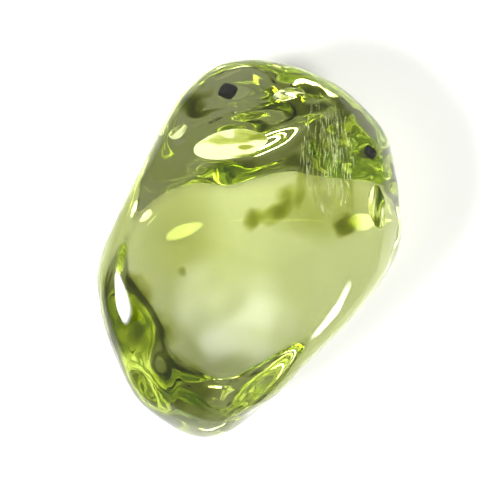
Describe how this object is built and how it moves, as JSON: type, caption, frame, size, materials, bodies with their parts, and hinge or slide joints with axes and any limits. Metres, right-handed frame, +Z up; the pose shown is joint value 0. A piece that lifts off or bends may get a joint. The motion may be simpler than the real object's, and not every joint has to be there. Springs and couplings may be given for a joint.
{
  "type": "tumbled peridot pebble",
  "caption": "Clear yellow-green peridot pebble, tumbled smooth, with a flat top and base, steep sides and a narrow front end.",
  "frame": {"origin": "on the surface the pebble rests on, under the middle of its outline", "axes": "+Z up from the flat base through the flat top, +Y along the pebble towards its broad back end, +X to the right"},
  "size_m": [0.0082, 0.0102, 0.0054],
  "materials": {
    "peridot": "polished",
    "chromite": "satin",
    "limonite": "matte"
  },
  "bodies": {
    "root": {"peridot_pebble": "peridot"}
  },
  "joints": []
}
